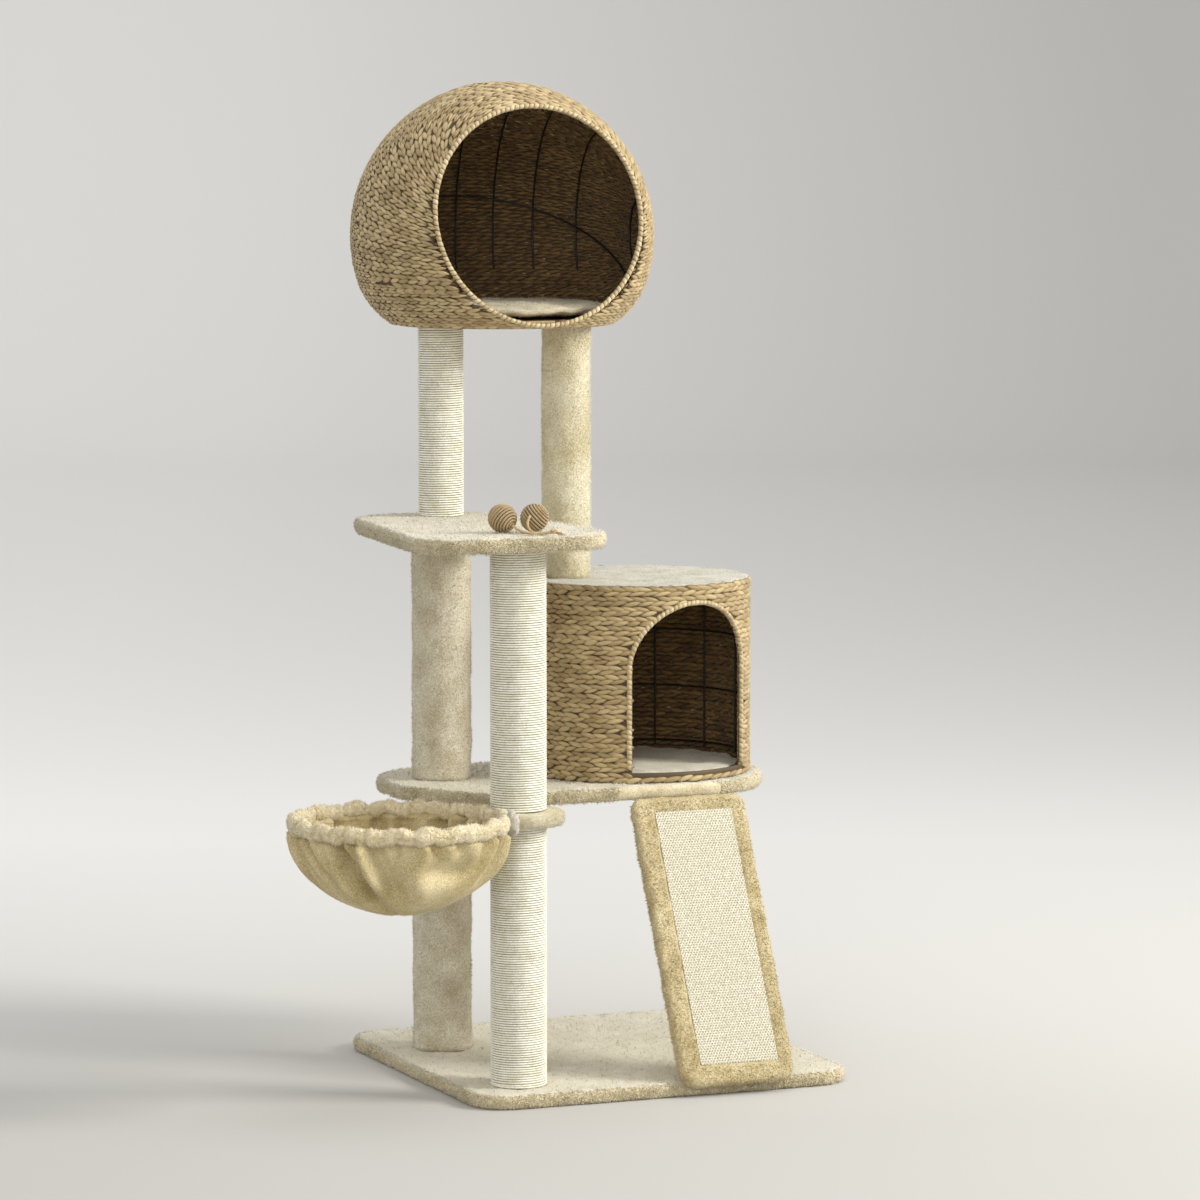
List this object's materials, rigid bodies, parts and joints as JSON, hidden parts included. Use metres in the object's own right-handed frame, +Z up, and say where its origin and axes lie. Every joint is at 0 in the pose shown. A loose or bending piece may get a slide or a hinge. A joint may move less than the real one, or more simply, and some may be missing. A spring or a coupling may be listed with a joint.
{
  "type": "cat tree",
  "caption": "Tall cat tree with sisal and plush posts, woven globe den, woven condo, ramp, hammock and rope-ball toy.",
  "frame": {"origin": "centre of the base's underside", "axes": "+Z up, -Y to the front where the doors and the ramp face, +X to the right seen from the front"},
  "size_m": [0.9262, 0.8056, 1.597],
  "materials": {
    "board_plush": "short-pile plush, greyish beige top with cream edges",
    "post_plush": "short-pile plush sleeve",
    "hammock_plush": "smooth short plush, pale straw",
    "cushion_plush": "padded plush",
    "white_fleece": "long-pile fleece",
    "sisal_rope": "wound sisal rope",
    "sisal_mat": "woven sisal mat",
    "woven_leaf": "plaited water-hyacinth leaf",
    "leaf_binding": "wrapped leaf strand",
    "black_wire": "black painted wire",
    "cardboard": "spiral-wound cardboard",
    "plywood": "birch plywood",
    "particle_board": "raw particle board",
    "zinc_steel": "zinc plated",
    "hinge_steel": "pressed and plated steel",
    "jute": "twisted jute cord",
    "ball_core": "moulded foam"
  },
  "bodies": {
    "root": {"base_board": "particle_board", "base_plush": "board_plush", "condo_door_binding": "leaf_binding", "condo_floor_board": "particle_board", "condo_floor_pad": "cushion_plush", "condo_screws": "zinc_steel", "condo_top_board": "particle_board", "condo_top_plush": "board_plush", "condo_wire_frame": "black_wire", "condo_woven_wall": "woven_leaf", "front_post_lower_rope": "sisal_rope", "front_post_lower_tube": "cardboard", "front_post_upper_rope": "sisal_rope", "front_post_upper_tube": "cardboard", "globe_door_binding": "leaf_binding", "globe_floor_board": "particle_board", "globe_wire_frame": "black_wire", "globe_woven_shell": "woven_leaf", "hinge_screws_platform": "zinc_steel", "platform_board": "particle_board", "platform_plush": "board_plush", "post_bolts": "zinc_steel", "post_end_plugs": "plywood", "post_studs": "zinc_steel", "post_washers": "zinc_steel", "ramp_hinge_fixed_leaves": "hinge_steel", "ramp_hinge_pins": "hinge_steel", "rear_post_lower_plush": "post_plush", "rear_post_lower_tube": "cardboard", "rear_post_middle_plush": "post_plush", "rear_post_middle_tube": "cardboard", "rear_post_upper_rope": "sisal_rope", "rear_post_upper_tube": "cardboard", "right_post_plush": "post_plush", "right_post_tube": "cardboard", "shelf_board": "particle_board", "shelf_plush": "board_plush"},
    "hammock": {"hammock_hoop": "black_wire", "hammock_bowl": "hammock_plush", "hammock_tie": "white_fleece", "clamp_disc_board": "particle_board", "clamp_disc_plush": "board_plush"},
    "ramp": {"ramp_board": "particle_board", "ramp_plush": "board_plush", "ramp_sisal_mat": "sisal_mat", "ramp_hinge_moving_leaves": "hinge_steel", "hinge_screws_ramp": "zinc_steel"},
    "toy": {"toy_ball_cores": "ball_core", "toy_ball_wraps": "jute", "toy_cord_left": "jute", "toy_cord_right": "jute", "toy_knot": "jute"},
    "cushion": {"globe_cushion": "cushion_plush"}
  },
  "joints": [
    {"name": "hammock_swing", "type": "hinge", "parent": "root", "child": "hammock", "pos_m": [-0.226, -0.23, 0.449], "axis": [0, 0, 1], "range_deg": [-30, 85]},
    {"name": "ramp_fold", "type": "hinge", "parent": "root", "child": "ramp", "pos_m": [0.109, -0.10443, 0.43936], "axis": [-1, 0, 0], "range_deg": [0, 58]},
    {"name": "toy_lift", "type": "slide", "parent": "root", "child": "toy", "axis": [0, 0, 1], "range_m": [0, 0.12]},
    {"name": "cushion_lift", "type": "slide", "parent": "root", "child": "cushion", "axis": [0, 0, 1], "range_m": [0, 0.06]}
  ]
}
